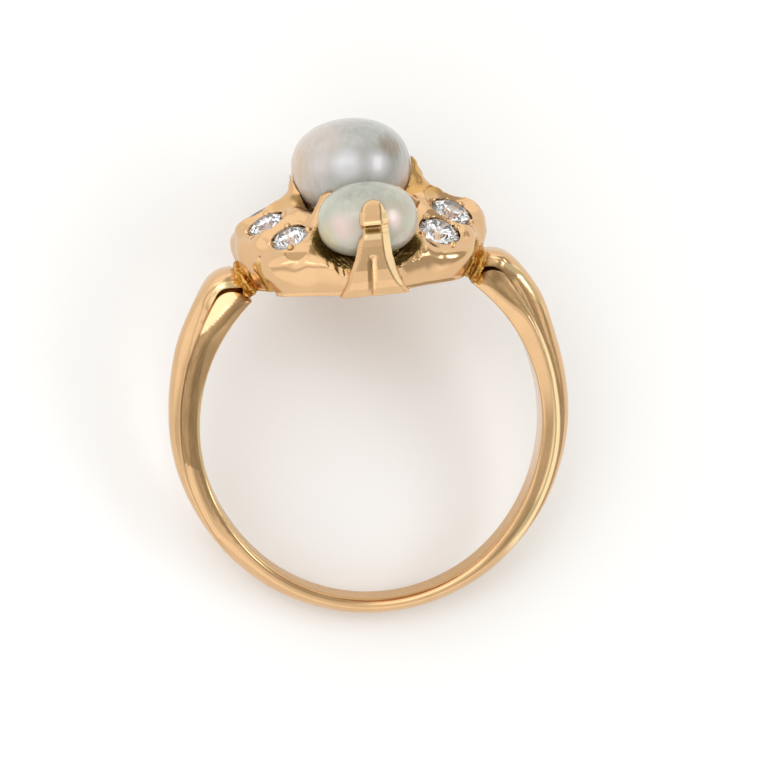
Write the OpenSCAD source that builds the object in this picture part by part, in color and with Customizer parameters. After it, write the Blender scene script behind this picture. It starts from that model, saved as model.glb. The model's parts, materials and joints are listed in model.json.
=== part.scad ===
// Pearl and diamond ring: a reeded gold hoop, a lobed domed head with three pearls in a row
// along the finger and a row of four round brilliants on each side of them.
// Everything is worked out in the ring's own frame and laid on its side at the end. In the ring's
// frame the middle of the finger hole is the origin, X runs across the finger, Y along the
// finger away from the big front claw, and Z up to the head.

/* [Finger hole] */
// Inside width of the hoop, across the finger
hole_w = 17.1; // [16.5:0.1:18]
// Inside height of the hoop, as if its oval closed behind the head
hole_h = 17.6; // [17:0.1:18.4]

/* [Hoop] */
// Width of the band along the finger, at the bottom of the hoop
band_w = 2.3; // [2:0.1:3]
// Width of the band along the finger, at the shoulders
shoulder_w = 3.7; // [3.2:0.1:4.2]
// Thickness of the band at the bottom of the hoop
band_t = 0.82; // [0.7:0.01:1.2]
// Thickness of the band at the shoulder tips
shoulder_t = 2.3; // [2:0.05:2.5]
// Angle from the bottom of the hoop to the rounded tip of a shoulder, in degrees
tip_angle = 142; // [140:0.5:143]
// Half the width of the middle reed at the shoulders
reed_half = 0.85; // [0.7:0.05:1]
// Turn of the hoop against the head, seen from above, in degrees
hoop_turn = -3; // [-4:0.5:4]

/* [Head] */
// Height of the flat rim under the head above the middle of the finger hole
rim_z = 7.4; // [7.2:0.05:7.6]
// Radius of the gold lobe round each diamond
lobe_r = 1.62; // [1.5:0.02:1.7]
// Radius of the flat middle of the head, under the centre pearl
core_r = 3.45; // [3.2:0.05:3.6]
// Height of the flat middle of the head
core_z = 11.1; // [10.9:0.05:11.3]
// Thickness of the gold round the open underside
wall = 0.8; // [0.6:0.05:1]

/* [Pearls] */
// Width of the centre pearl
center_w = 6; // [5.6:0.1:6.2]
// Height of the centre pearl
center_h = 4.6; // [4.2:0.1:4.8]
// Width of the front pearl across the finger
front_w = 5; // [4.6:0.1:5.2]
// Width of the back pearl across the finger
back_w = 4.5; // [4.2:0.1:4.8]
// Height of the front and the back pearl
end_h = 3.6; // [3.3:0.1:3.8]
// Distance of the front and the back pearl from the centre pearl, along the finger
pearl_pitch = 4.6; // [4.5:0.05:4.8]

/* [Setting] */
// Gap between a stone or pearl and the gold that holds it
seat_gap = 0.07; // [0.06:0.01:0.1]
// Width of the big claw at its tip
claw_tip_w = 0.8; // [0.6:0.05:1]
// Width of the big claw's foot on the rim, over both toes
claw_foot_w = 3.7; // [3.4:0.1:3.9]

/* [Hidden] */

// Laid on its side the ring rests on the back claw's two toes and on the back edge of the hoop.
// Both points are [distance along the finger, height above the middle of the finger hole]. The
// toes end in round balls, toe_out from the middle of the head and toe_half wide to each side.
toe_out = 6.55;
toe_half = 0.25;
toe_rest = [toe_out + 0.323, rim_z + 0.185];
edge_rest = [band_w / 2 + 0.047, -hole_h / 2 - 0.299];
lie_lean = atan((toe_rest[0] - edge_rest[0]) / (toe_rest[1] - edge_rest[1]));
lie_up = toe_rest[0] * cos(lie_lean) - toe_rest[1] * sin(lie_lean);
// Puts the middle of the laid ring over the origin
lie_along = -2.72;

// Each row is one diamond seat, front to back on the left and then on the right:
// distance across, distance along, height, lean of the table outwards, direction of the lean
// in degrees from straight out, and diameter.
across = 0;
along = 1;
height = 2;
lean = 3;
facing = 4;
diameter = 5;
SEATS = [
    [-3.55, -3.35, 10.15, 28, -44, 1.90],
    [-4.45, -1.15, 10.60, 26, -24, 1.90],
    [-4.60, 1.15, 10.60, 28, 28, 1.95],
    [-3.60, 3.35, 10.10, 31, 50, 1.95],
    [3.75, -3.35, 9.85, 34, -58, 2.00],
    [4.95, -1.15, 10.50, 31, -40, 2.15],
    [4.80, 1.15, 10.60, 28, 28, 2.00],
    [3.65, 3.35, 10.05, 31, 50, 1.95],
];

// Each row is one station of the big claw, from its foot over the pearl to its tip: distance
// across, distance out from the middle of the head, height, width and thickness.
CLAW = [
    [-0.05, 6.50, 7.8, 1.9, 0.6],
    [-0.05, 6.85, 8.8, 1.8, 0.6],
    [0.00, 7.00, 9.7, 1.5, 0.6],
    [0.10, 7.00, 10.6, 1.3, 0.6],
    [0.18, 6.85, 11.3, 1.15, 0.6],
    [0.25, 6.50, 11.9, claw_tip_w, 0.5],
];
// Places of the pearls across the head and above the finger hole, and how deep the end pearls
// are along the finger
center_x = 0.14;
center_z = 12.98;
end_x = 0.2;
end_z = 11.05;
end_d = 4.2;

function mix(a, b, f) = a + (b - a) * f;
function smooth(f) = f <= 0 ? 0 : f >= 1 ? 1 : f * f * (3 - 2 * f);

// The hoop, in the order from its crest to the edge of the finger hole

hoop_steps = 52;
reed_points = 4;
side_points = 4;

// How far a station lies from the bottom of the hoop, 0 at the bottom and 1 at the tip
function rise(a) = abs(a) / tip_angle;
function band_thickness(a) =
    mix(band_t, shoulder_t, 0.83 * pow(rise(a), 2) + 0.17 * pow(rise(a), 4));
function band_width(a) = mix(band_w, shoulder_w, smooth((abs(a) - 55) / 75));
// The reeds fade in over the sides of the hoop
function reeding(a) = smooth((abs(a) - 40) / 55);
// The tips close in a round end
function tip_closing(a) =
    abs(a) < tip_angle - 6 ? 1 : sqrt(max(0.1, 1 - pow((abs(a) - tip_angle + 6) / 6, 2)));

// Half of a plain band section: distance along the finger and height above the finger hole
function plain_half(w, t) = [
    for (i = [0 : reed_points + side_points])
        let (b = 90 * i / (reed_points + side_points))
        [w / 2 * sin(b), mix(0.3, t, cos(b))]
];
// Half of a reeded section: the middle reed, the crease beside it and the side reed
function reeded_half(w, t, crease) = concat(
    [for (i = [0 : reed_points])
        let (b = 90 * i / reed_points)
        [reed_half * sin(b), mix(crease, t, cos(b))]],
    [for (i = [1 : side_points])
        let (b = 90 * i / side_points)
        [mix(reed_half, w / 2, sin(b)), mix(0.35, crease, cos(b)) + 0.16 * sin(2 * b)]]
);
function half_section(a) =
    let (w = band_width(a), t = band_thickness(a),
         plain = plain_half(w, t), reeded = reeded_half(w, t, 0.6 * t))
    concat(
        [for (i = [0 : len(plain) - 1]) mix(plain[i], reeded[i], reeding(a))],
        [[w / 2 - 0.12, 0]]
    );
// The whole section, closed in and with its back half mirrored from the front half
function section(a) =
    let (half = half_section(a), n = len(half), k = tip_closing(a), mid = 0.45 * half[0][1])
    [for (i = [0 : 2 * n - 2])
        let (p = i < n ? half[i] : [-half[2 * n - 1 - i][0], half[2 * n - 1 - i][1]])
        [p[0] * k, mid + (p[1] - mid) * k]];
function hoop_point(a, p) = [
    (hole_w / 2 + p[1]) * sin(a),
    p[0],
    -(hole_h / 2 + p[1]) * cos(a)
];

module hoop() {
    // Stations close up towards the tips, where the section changes fastest
    angles = [for (i = [0 : hoop_steps]) tip_angle * sin(90 * (2 * i / hoop_steps - 1))];
    n = len(section(0));
    points = [for (a = angles, p = section(a)) hoop_point(a, p)];
    sides = [for (i = [0 : hoop_steps - 1], j = [0 : n - 1])
        [i * n + j, (i + 1) * n + j, (i + 1) * n + (j + 1) % n, i * n + (j + 1) % n]];
    first_end = [for (j = [0 : n - 1]) j];
    last_end = [for (j = [n - 1 : -1 : 0]) hoop_steps * n + j];
    polyhedron(points, concat(sides, [first_end, last_end]));
}

// The short rough necks that join the shoulder tips to the head
module neck() {
    hull() {
        rotate([0, 180 - tip_angle + 2, 0])
            translate([0, 0, hole_h / 2 + 1.05])
                scale([0.3, 1.3, 0.85]) sphere(1, $fn = 12);
        translate([4.9, 0, 8.35]) scale([0.3, 1.5, 1]) sphere(1, $fn = 12);
    }
}

// The head

// Stands a child on the top face of a diamond's seat, with Z out of the table
module on_seat(s) {
    side = sign(s[across]);
    translate([s[across], s[along], s[height]])
        rotate([0, 0, side > 0 ? s[facing] : 180 - s[facing]])
            rotate([0, s[lean], 0])
                children();
}

module disc(r, h = 0.05) {
    cylinder(r = r, h = h, $fn = 20);
}

// The walls start this far below the rim, where the head is cut off flat
rim_spare = 0.4;
// How much the walls lean in towards the rim: the share of a seat's distance from the middle
// at which its lobe stands, at the start of the wall and at its waist
foot_share = 0.84;
waist_share = 0.95;
waist_z = rim_z + 0.95;

// The lobe of the wall under one diamond. A negative grow makes the hollow inside it.
module lobe(s, grow = 0) {
    top = grow < 0 ? -1.15 : 0;
    r = lobe_r + grow;
    hull() {
        translate([foot_share * s[across], foot_share * s[along], rim_z - rim_spare])
            disc(r - 0.44);
        translate([waist_share * s[across], waist_share * s[along], waist_z]) disc(r - 0.08);
        translate([s[across], s[along], s[height] - 1.2 + top]) disc(r);
        on_seat(s) translate([0, 0, -0.34 + top]) disc(r - 0.12);
        on_seat(s) translate([0, 0, -0.05 + top]) disc(r - 0.4);
    }
}

// The wall that runs from one end's two lobes round the end pearl, at the front for end = -1
// and at the back for end = 1. It lies a little inside the lobes.
module end_wall(seats, end, grow = 0) {
    top_z = rim_z + 1.62 + (grow < 0 ? -0.75 : 0);
    r = lobe_r - 0.1 + grow;
    hull() {
        for (s = seats) {
            translate([foot_share * s[across], foot_share * s[along], rim_z - rim_spare])
                disc(r - 0.44);
            translate([waist_share * s[across], waist_share * s[along], waist_z - 0.02])
                disc(r - 0.08);
            translate([s[across], s[along], top_z]) disc(r);
        }
        translate([0, end * 4.45, rim_z - rim_spare]) disc(1.8 + grow);
        translate([0, end * 4.55, waist_z - 0.02]) disc(2.12 + grow);
        translate([0, end * 4.55, top_z]) disc(2.05 + grow);
    }
}

module core(grow = 0) {
    top = grow < 0 ? -0.9 : 0;
    hull() {
        translate([0, 0, rim_z - rim_spare]) scale([1, 1.05, 1]) disc(4.1 + grow);
        translate([0, 0, core_z - 0.5 + top]) scale([1, 1.05, 1]) disc(3.9 + grow);
        translate([0, 0, core_z - 0.05 + top]) disc(core_r + grow);
    }
}

module head_mass(grow = 0) {
    for (s = SEATS)
        lobe(s, grow);
    end_wall([SEATS[0], SEATS[4]], -1, grow);
    end_wall([SEATS[3], SEATS[7]], 1, grow);
    core(grow);
}

// Pearls, a little flattened

module pearl_form(w, d, h, extra = 0) {
    scale([w / 2 + extra, d / 2 + extra, h / 2 + extra]) sphere(1, $fn = 24);
}
module center_place() {
    translate([center_x, 0, center_z]) children();
}
module front_place() {
    translate([end_x, -pearl_pitch, end_z]) children();
}
module back_place() {
    translate([end_x, pearl_pitch, end_z]) children();
}

// The claws

// A claw from stations of [position, half sizes]
module claw_run(stations) {
    for (i = [0 : len(stations) - 2])
        hull()
            for (s = [stations[i], stations[i + 1]])
                translate(s[0]) scale(s[1]) sphere(1, $fn = 8);
}

// The big claw over an end pearl: a stem on a foot that forks into two toes on the rim
module big_claw() {
    claw_run([for (c = CLAW) [[c[0], -c[1], c[2]], [c[3] / 2, c[4] / 2, 0.35]]]);
    for (side = [-1, 1])
        claw_run([
            [[side * 0.45, -6.72, 8.9], [0.35, 0.32, 0.4]],
            [[side * (claw_foot_w / 2 - toe_half), -toe_out, rim_z + 0.3], [toe_half, 0.35, 0.3]],
        ]);
}

// One of the two side claws that hold the centre pearl, up to the height of its tip
module side_claw(tip_z) {
    claw_run([
        [[3.2, 0.18, 10.75], [0.6, 0.65, 0.4]],
        [[3.3, 0.18, 11.7], [0.4, 0.45, 0.3]],
        [[3.05, 0.18, tip_z], [0.22, 0.3, 0.2]],
    ]);
}

// A short claw between the centre pearl and an end pearl, which holds both
module shared_claw() {
    claw_run([
        [[2.12, -2.7, 10.25], [0.55, 0.55, 0.4]],
        [[1.95, -2.65, 11.0], [0.52, 0.5, 0.35]],
        [[1.7, -2.65, 11.65], [0.5, 0.42, 0.34]],
    ]);
}

module claws() {
    for (end = [0, 1])
        mirror([0, end, 0]) {
            big_claw();
            shared_claw();
            mirror([1, 0, 0]) shared_claw();
        }
    translate([center_x, 0, 0]) {
        side_claw(center_z - 0.1);
        mirror([1, 0, 0]) side_claw(center_z - 0.6);
    }
}

// The diamonds: old cut brilliants with a table, 8 stars, 8 kites, girdle, mains and a culet

table_share = 0.55;
crown_share = 0.15;
girdle_share = 0.03;
pavilion_share = 0.42;
culet_share = 0.08;
girdle_drop = 0.1;

function ring_points(n, r, z, start = 0) =
    [for (i = [0 : n - 1]) [r * cos(start + 360 * i / n), r * sin(start + 360 * i / n), z]];

module brilliant(d) {
    star_r = d * 0.385;
    star_z = d * crown_share * 0.56;
    points = concat(
        ring_points(8, d * table_share / 2, d * crown_share),
        ring_points(8, star_r, star_z, 22.5),
        ring_points(16, d / 2, 0),
        ring_points(16, d / 2, -d * girdle_share),
        ring_points(8, d * culet_share / 2, -d * (girdle_share + pavilion_share))
    );
    table_0 = 0;
    star_0 = 8;
    upper_0 = 16;
    lower_0 = 32;
    culet_0 = 48;
    faces = concat(
        [[for (i = [7 : -1 : 0]) table_0 + i]],
        [for (i = [0 : 7]) let (k = (i + 1) % 8)
            each [
                [table_0 + i, table_0 + k, star_0 + i],
                [table_0 + k, upper_0 + 2 * k, star_0 + i],
                [table_0 + k, star_0 + k, upper_0 + 2 * k],
                [star_0 + i, upper_0 + (2 * i + 1), upper_0 + 2 * i],
                [star_0 + i, upper_0 + 2 * k, upper_0 + (2 * i + 1)],
            ]],
        [for (i = [0 : 15]) let (k = (i + 1) % 16)
            each [
                [upper_0 + i, upper_0 + k, lower_0 + k],
                [upper_0 + i, lower_0 + k, lower_0 + i],
            ]],
        [for (i = [0 : 7]) let (k = (i + 1) % 8)
            each [
                [lower_0 + 2 * i, lower_0 + 2 * i + 1, culet_0 + i],
                [lower_0 + 2 * i + 1, culet_0 + k, culet_0 + i],
                [lower_0 + 2 * i + 1, lower_0 + 2 * k, culet_0 + k],
            ]],
        [[for (i = [0 : 7]) culet_0 + i]]
    );
    polyhedron(points, faces);
}

// The space cut into the gold for one diamond: a straight mouth, a cone and a hole behind it
seat_hole_r = 0.46;
module seat_cut(s) {
    r = s[diameter] / 2 + seat_gap;
    floor_z = -girdle_drop - 0.1;
    hole_z = floor_z - 0.88 * (r - seat_hole_r);
    on_seat(s) rotate_extrude($fn = 20)
        polygon([[0, 1], [r, 1], [r, floor_z], [seat_hole_r, hole_z], [seat_hole_r, -2.6], [0, -2.6]]);
}

// Everything that is cut out of the gold
module cuts() {
    translate([-10, -10, rim_z - 4]) cube([20, 20, 4]);
    for (s = SEATS)
        seat_cut(s);
    center_place() pearl_form(center_w, center_w, center_h, seat_gap);
    // A moat round the peg under the centre pearl
    difference() {
        translate([0, 0, core_z - 0.55]) cylinder(r = 2.75, h = 1, $fn = 32);
        translate([0, 0, core_z - 1]) cylinder(r = 1.3, h = 2, $fn = 20);
    }
}

// The recess that is cut round each end pearl, deeper than the pearl
module end_recess(w) {
    difference() {
        translate([end_x, -pearl_pitch, end_z + 0.15]) pearl_form(w, end_d, end_h, 0.5);
        translate([end_x, -pearl_pitch + 0.4, end_z - 3]) cylinder(r = 0.9, h = 3, $fn = 16);
    }
}

module gold_in_ring_frame() {
    rotate([0, 0, hoop_turn]) {
        hoop();
        neck();
        mirror([1, 0, 0]) neck();
    }
    difference() {
        union() {
            difference() {
                head_mass();
                end_recess(front_w);
                mirror([0, 1, 0]) end_recess(back_w);
            }
            claws();
        }
        head_mass(-wall);
        cuts();
        front_place() pearl_form(front_w, end_d, end_h, seat_gap);
        back_place() pearl_form(back_w, end_d, end_h, seat_gap);
    }
}

// Lays the ring on its side: the front claw looks up, the head lies at the far end
module lay() {
    translate([0, lie_along, lie_up]) rotate([lie_lean - 90, 0, 0]) children();
}

module gold() {
    color([0.93, 0.72, 0.42]) lay() gold_in_ring_frame();
}
module pearl_center() {
    color([0.86, 0.86, 0.88]) lay() center_place() pearl_form(center_w, center_w, center_h);
}
module pearl_front() {
    color([0.87, 0.88, 0.83]) lay() front_place() pearl_form(front_w, end_d, end_h);
}
module pearl_back() {
    color([0.87, 0.87, 0.84]) lay() back_place() pearl_form(back_w, end_d, end_h);
}
module diamond(i) {
    s = SEATS[i - 1];
    color([0.9, 0.93, 0.97]) lay() on_seat(s) translate([0, 0, -girdle_drop]) brilliant(s[diameter]);
}

gold();
pearl_center();
pearl_front();
pearl_back();
diamond(1);  // diamond_1
diamond(2);  // diamond_2
diamond(3);  // diamond_3
diamond(4);  // diamond_4
diamond(5);  // diamond_5
diamond(6);  // diamond_6
diamond(7);  // diamond_7
diamond(8);  // diamond_8
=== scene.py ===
import json
import math
import bpy
import numpy as np
from mathutils import Matrix, Vector


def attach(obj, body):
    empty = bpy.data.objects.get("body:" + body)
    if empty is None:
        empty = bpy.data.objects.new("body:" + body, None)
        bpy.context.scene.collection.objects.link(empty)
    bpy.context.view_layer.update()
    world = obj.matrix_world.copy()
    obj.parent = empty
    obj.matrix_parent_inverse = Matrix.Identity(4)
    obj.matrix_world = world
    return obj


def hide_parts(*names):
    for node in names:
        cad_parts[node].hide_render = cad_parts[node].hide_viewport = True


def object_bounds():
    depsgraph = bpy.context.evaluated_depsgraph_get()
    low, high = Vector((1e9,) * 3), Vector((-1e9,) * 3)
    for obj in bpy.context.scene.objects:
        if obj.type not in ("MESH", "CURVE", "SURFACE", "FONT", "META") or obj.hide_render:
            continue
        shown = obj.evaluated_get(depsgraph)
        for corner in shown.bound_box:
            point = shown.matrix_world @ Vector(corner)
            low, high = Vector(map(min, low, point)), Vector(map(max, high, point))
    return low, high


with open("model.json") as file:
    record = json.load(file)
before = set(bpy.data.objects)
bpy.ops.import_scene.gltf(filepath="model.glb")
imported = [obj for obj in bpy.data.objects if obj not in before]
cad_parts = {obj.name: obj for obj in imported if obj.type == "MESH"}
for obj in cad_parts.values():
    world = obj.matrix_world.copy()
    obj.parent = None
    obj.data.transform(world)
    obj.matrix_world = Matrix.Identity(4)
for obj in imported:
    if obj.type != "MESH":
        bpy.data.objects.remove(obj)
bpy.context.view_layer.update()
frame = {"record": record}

# Laying the ring down
# The ring is worked out in its own frame, in millimetres: the middle of the finger hole is the
# origin, X runs across the finger, Y along it away from the big front claw, and Z up to the head.
# It lies on its side, on the back claw's toes and the back edge of the hoop.
MM = 0.001
finger = frame["record"]["mounts"][0]
hole_middle = Vector(finger["pos_m"])
ring_y = -Vector(finger["axis"]).normalized()
ring_x = Vector((1, 0, 0))
ring_z = ring_x.cross(ring_y)
lay = Matrix.Translation(hole_middle) @ Matrix((ring_x, ring_y, ring_z)).transposed().to_4x4()


def lay_down(points):
    """Points of the ring's own frame, in millimetres, as points of the laid ring, in metres"""
    turned = np.asarray(points) @ np.array(lay.to_3x3()).T
    return turned * MM + np.array(hole_middle)


# Camera
# It looks along the finger from a little above the head and a little to the left of it, far
# enough away for a long lens.
PIXELS = 782
PIXELS_PER_MM = 20
CAMERA_FAR = 300
CAMERA_UP = math.radians(11)
CAMERA_LEFT = math.radians(7)
CAMERA_ROLL = math.radians(4.5)
HOLE_SHOWS_AT = (368, 420.5)
SENSOR = 36

towards = Vector((-math.sin(CAMERA_LEFT) * math.cos(CAMERA_UP),
                  -math.cos(CAMERA_LEFT) * math.cos(CAMERA_UP),
                  math.sin(CAMERA_UP)))
level = Vector((math.cos(CAMERA_LEFT), -math.sin(CAMERA_LEFT), 0))
upright = towards.cross(level)
across = level * math.cos(CAMERA_ROLL) - upright * math.sin(CAMERA_ROLL)
up = level * math.sin(CAMERA_ROLL) + upright * math.cos(CAMERA_ROLL)
seen_x = (HOLE_SHOWS_AT[0] - PIXELS / 2) / PIXELS_PER_MM
seen_y = -(HOLE_SHOWS_AT[1] - PIXELS / 2) / PIXELS_PER_MM
stands_at = (towards * CAMERA_FAR - across * seen_x - up * seen_y) * MM
looks = Matrix((across, up, towards)).transposed().to_4x4()
camera = bpy.data.objects.new("camera", bpy.data.cameras.new("camera"))
camera.data.sensor_width = SENSOR
camera.data.lens = SENSOR * CAMERA_FAR * PIXELS_PER_MM / PIXELS
camera.data.clip_start = 0.01
camera.matrix_world = lay @ Matrix.Translation(stands_at) @ looks
bpy.context.collection.objects.link(camera)
bpy.context.scene.camera = camera


# Finishes
# A finish is written as sums: a wire is one socket of a material, and Python's operators join
# wires by the Math nodes that a shader needs.
class Wire:
    """A socket of a node tree, which adds the nodes of the sums that it is used in"""

    def __init__(self, tree, socket=None):
        self.tree = tree
        self.socket = socket

    def node(self, kind, settings=None, sockets=None, out=0):
        made = self.tree.nodes.new(kind)
        for name, value in (settings or {}).items():
            setattr(made, name, value)
        for name, value in (sockets or {}).items():
            if isinstance(value, Wire):
                self.tree.links.new(value.socket, made.inputs[name])
            else:
                made.inputs[name].default_value = value
        return Wire(self.tree, made.outputs[out] if made.outputs else None)

    def math(self, operation, *values):
        return self.node("ShaderNodeMath", {"operation": operation}, dict(enumerate(values)))

    def __add__(self, other):
        return self.math("ADD", self, other)

    def __sub__(self, other):
        return self.math("SUBTRACT", self, other)

    def __rsub__(self, other):
        return self.math("SUBTRACT", other, self)

    def __mul__(self, other):
        return self.math("MULTIPLY", self, other)

    __radd__ = __add__
    __rmul__ = __mul__

    def smooth(self, low, high):
        """0 below low, 1 above high, and a smooth step between"""
        return self.node("ShaderNodeMapRange", {"interpolation_type": "SMOOTHSTEP"},
                         {"Value": self, "From Min": low, "From Max": high})

    def mix(self, first, second):
        """first where this wire is 0 and second where it is 1, both colours"""
        return self.node("ShaderNodeMix", {"data_type": "RGBA"},
                         {"Factor": self, 6: opaque(first), 7: opaque(second)}, out=2)

    def noise(self, vector, scale, detail=2, roughness=0.5):
        return self.node("ShaderNodeTexNoise", {}, {"Vector": vector, "Scale": scale,
                                                    "Detail": detail, "Roughness": roughness})

    def kept(self, name):
        """A number that the mesh keeps for each of its points"""
        return self.node("ShaderNodeAttribute", {"attribute_name": name}, out=2)


def opaque(colour):
    return colour if isinstance(colour, Wire) else (*colour, 1)


def new_finish(name):
    """A bare material and the wire that its nodes are made from"""
    finish = bpy.data.materials.new(name)
    finish.use_nodes = True
    finish.node_tree.nodes.clear()
    return finish, Wire(finish.node_tree)


def shine(wire, sockets, normal=None):
    """Joins a Principled surface with these sockets to the material's output"""
    if normal is not None:
        sockets = {**sockets, "Normal": normal}
    surface = wire.node("ShaderNodeBsdfPrincipled", {}, sockets)
    wire.node("ShaderNodeOutputMaterial", {}, {"Surface": surface})


def make_piece(name, points, faces, finish, nodes):
    """One piece from points in the ring's frame and faces, with its finish, riding on the ring"""
    mesh = bpy.data.meshes.new(name)
    mesh.from_pydata(lay_down(points).tolist(), [], [list(face) for face in faces])
    mesh.validate()
    mesh.materials.append(finish)
    mesh.shade_smooth()
    piece = bpy.data.objects.new(name, mesh)
    bpy.context.collection.objects.link(piece)
    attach(piece, "root")
    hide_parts(*nodes)
    return piece


def keep(piece, **marks):
    """Keeps numbers for each point of a piece, under the names that its finish knows them by"""
    for name, values in marks.items():
        layer = piece.data.attributes.new(name, "FLOAT", "POINT")
        layer.data.foreach_set("value", np.asarray(values, np.float32))


# Gold
# Yellow gold of about 18 carat, a little warm. It is polished, with the fine lines of the
# polishing mop on it. The flanks of the reeds are brushed and painted dark as shade, the engraved
# recess is matt and dark, and the cast necks and creases are left rough and deep orange. Creases,
# channels and other shaded places get painted shade, and bright edges and facets painted
# highlights.
GOLD = (0.73, 0.465, 0.245)
GOLD_HIGHLIGHT = (1.0, 0.77, 0.43)
GOLD_CAST = (0.64, 0.36, 0.09)
GOLD_SHADE = (0.20, 0.12, 0.035)
GOLD_BRUSHED_SHADE = (0.35, 0.215, 0.10)
GOLD_ENGRAVED = (0.72, 0.48, 0.18)
CLOUD_SCALE, GRAIN_SCALE = 700, 11000
LINE_SCALE, PATCH_SCALE = 16, 5
# The lines run along the hoop, so they are drawn in its own degrees, heights and widths, and a
# degree of it counts for little
DEGREE_COUNTS = 0.02
GOLD_RELIEF = 0.02 * MM


def darker(colour, share):
    return tuple(share * c for c in colour)


gold, wire = new_finish("gold")
place = wire.node("ShaderNodeTexCoord", out=3)
cast = wire.kept("cast")
crease = wire.kept("crease")
brushed = wire.kept("brushed")
engraved = wire.kept("engraved")
bright = wire.kept("bright")
clouds = wire.noise(place, CLOUD_SCALE, 3)
grain = wire.noise(place, GRAIN_SCALE)
swept = wire.node("ShaderNodeCombineXYZ", {}, {
    0: wire.kept("sweep") * DEGREE_COUNTS, 1: wire.kept("lift"), 2: wire.kept("aside")})
lines = wire.noise(swept, LINE_SCALE, 3, 0.7)
patches = wire.noise(swept, PATCH_SCALE)
colour = clouds.smooth(0.35, 0.65).mix(GOLD, darker(GOLD, 0.95))
# painted highlight: the bright marks take a lighter gold
colour = bright.mix(colour, GOLD_HIGHLIGHT)
# painted shade: the brushed flanks and the dark marks on the head take a dark olive gold, streaked
# by the polishing lines
brushed_shade_share = brushed * (0.68 + (lines * 0.7 + patches * 0.5).smooth(0.42, 0.75) * 0.32)
colour = brushed_shade_share.mix(colour, GOLD_BRUSHED_SHADE)
colour = cast.mix(colour, GOLD_CAST)
strokes = grain.smooth(0.35, 0.62).mix(GOLD_ENGRAVED, darker(GOLD_ENGRAVED, 0.45))
colour = engraved.mix(colour, strokes)
# painted shade: creases, channels, the valleys, the dark band on the claw and the gap under the
# centre pearl take a dark brown
colour = crease.mix(colour, GOLD_SHADE)
rough = 0.13 + clouds * 0.07 + cast * 0.12 + brushed * 0.2 + engraved * 0.22
relief = wire.node("ShaderNodeBump", {}, {
    "Strength": 0.5, "Distance": GOLD_RELIEF,
    "Height": grain * (0.1 + cast * 1.6 + engraved * 3.5) + lines * (0.1 + brushed * 1.2)})
shine(wire, {"Base Color": colour, "Metallic": 1.0, "Roughness": rough}, relief)


# Hoop
# A gold band, forged plain at the bottom and reeded up its sides: a middle reed stands proud and
# ends in a cap at the neck, and a lower reed on each side of it ends in a rounded leaf inside
# a channel below that cap.
HOLE_W, HOLE_H = 17.1, 17.6
BAND_W, SHOULDER_W = 2.3, 3.7
HOLE_SAG = 0.14
HOOP_SHIFT = 0.07
REED_HALF = 0.85
HOOP_TURN = math.radians(-3)
LEAF_TIPS = (140.6, 139.9)
LEAF_ROUND = 7.2
CAP_TIPS = (146, 144.2)
HOOP_STEPS = 460
# Each pair is degrees from the bottom of the hoop and the value there. The crest is how high the
# hoop stands and the ledge how high its lower body does. The flank leans in by the bevel above
# its ridge, and by the undercut below it, both in degrees. The last two are the lower edge of
# the cap's lip and the top of the narrow face above it.
CREST = [(0, 0.86), (20, 0.9), (34, 0.99), (42, 1.05), (50, 1.11), (58, 1.16), (66, 1.24),
         (74, 1.32), (82, 1.41), (90, 1.47), (98, 1.52), (106, 1.62), (110, 1.69)]
CREST_LEFT = CREST + [(114, 1.78), (118, 1.86), (122, 1.92), (126, 1.98), (130, 2.08),
                      (134, 2.21), (138, 2.36), (142, 2.5), (146, 2.4)]
CREST_RIGHT = CREST + [(114, 1.8), (118, 1.97), (122, 2.1), (126, 2.16), (130, 2.22),
                       (134, 2.27), (138, 2.32), (142, 2.34), (146, 2.25)]
LEDGE = [(50, 0.93), (60, 0.95), (77, 0.97), (95, 0.92), (103, 0.96), (109, 1.0), (115, 1.05),
         (121, 1.12), (126, 1.22), (130, 1.31), (133.4, 1.4), (141, 1.5)]
RIDGE = [(90, 0.66), (108, 0.72), (117, 0.78), (121, 0.72), (126, 0.55), (131, 0.42), (140, 0.36)]
BEVEL_LEFT = [(60, 18), (90, 45), (115, 52), (121, 42), (130, 34), (140, 36)]
BEVEL_RIGHT = [(44, 30), (54, 44), (90, 48), (115, 52), (121, 42), (130, 34), (140, 36)]
BEVEL_SOFT = [(100, 0.12), (117, 0.12), (124, 0.2), (130, 0.25)]
UNDERCUT = [(60, 5), (95, 12), (115, 16), (125, 22), (135, 30)]
CAP_LIP = [(124, 1.12), (126, 1.2), (130, 1.31), (133.4, 1.45), (135.8, 1.58), (137.2, 1.56),
           (139, 1.27), (140.2, 0.93), (141.5, 0.7), (146, 0.5)]
LIP_BAND = [(110, 0.99), (117, 1.13), (123.5, 1.33), (128.7, 1.53), (133, 1.66), (136.2, 1.78),
            (137.7, 1.81), (139.2, 1.63), (140.8, 1.34), (142, 1.05), (146, 0.75)]


def smooth(f):
    f = np.clip(f, 0, 1)
    return f * f * (3 - 2 * f)


def mix(a, b, f):
    return a + (b - a) * f


def along_hoop(a, pairs):
    """The value that pairs give at a degrees, with the corners between them rounded"""
    places, values = zip(*pairs)
    return sum(np.interp(abs(a) + d, places, values) for d in (-2, -1, 0, 1, 2)) / 5


def crest(a):
    return along_hoop(a, CREST_LEFT if a < 0 else CREST_RIGHT)


def band_width(a):
    return mix(BAND_W, SHOULDER_W, smooth((abs(a) - 55) / 75))


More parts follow.
